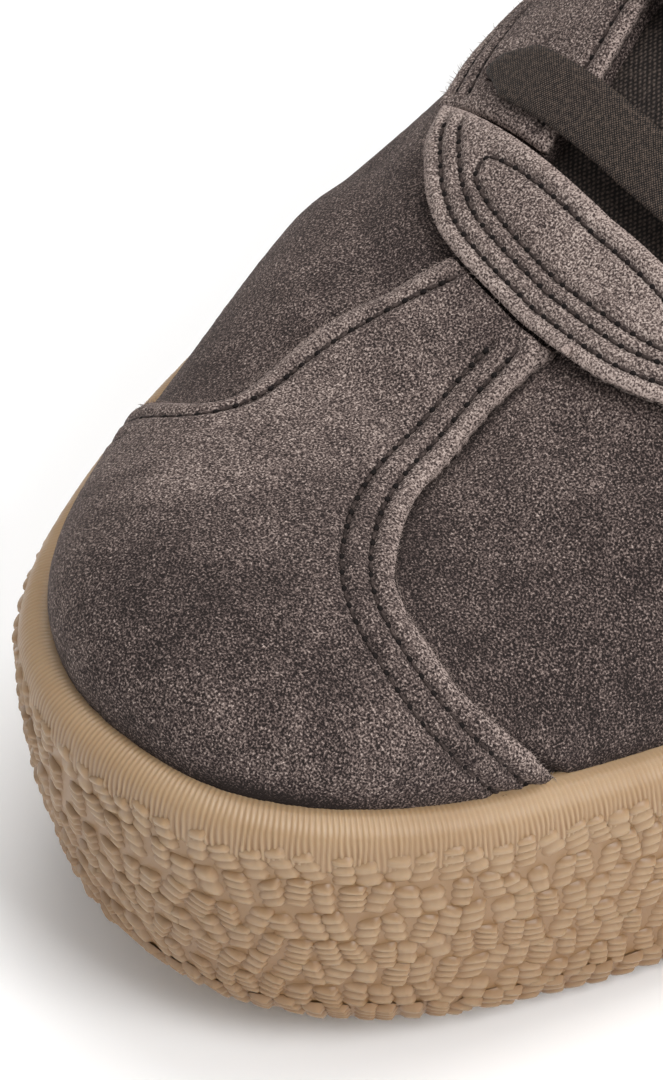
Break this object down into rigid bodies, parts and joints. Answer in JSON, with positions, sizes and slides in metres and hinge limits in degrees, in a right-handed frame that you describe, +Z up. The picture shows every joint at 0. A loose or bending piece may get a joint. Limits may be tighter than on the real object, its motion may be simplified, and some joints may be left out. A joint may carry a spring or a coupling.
{
  "type": "skateboarding shoe",
  "caption": "Low skateboarding shoe with a hollow suede upper, stitched toe piece, lace stay, padded tongue and a thick rubber cup sole.",
  "frame": {"origin": "on the floor, at the middle of the sole's plan", "axes": "+Z up, toe towards -Y and heel towards +Y, +X towards the inner side of the foot"},
  "size_m": [0.1082, 0.289, 0.1175],
  "materials": {
    "gum": "satin moulded rubber, fine ribs under the rim, pebbled below",
    "foam": "matt cloth over foam",
    "suede": "brushed nap, matt",
    "suede_overlay": "brushed nap, matt, raw cut edges",
    "tongue_cloth": "matt padded cloth",
    "lace_weave": "flat woven polyester with a faint sparkle"
  },
  "bodies": {
    "root": {"cupsole": "gum", "insole": "foam", "upper": "suede", "toe_overlay": "suede_overlay", "throat_bar": "suede_overlay", "eyestay_medial": "suede_overlay", "eyestay_lateral": "suede_overlay", "tongue": "tongue_cloth", "lace_bar_1": "lace_weave", "lace_bar_2": "lace_weave", "lace_bar_3": "lace_weave", "lace_bar_4": "lace_weave"}
  },
  "joints": []
}
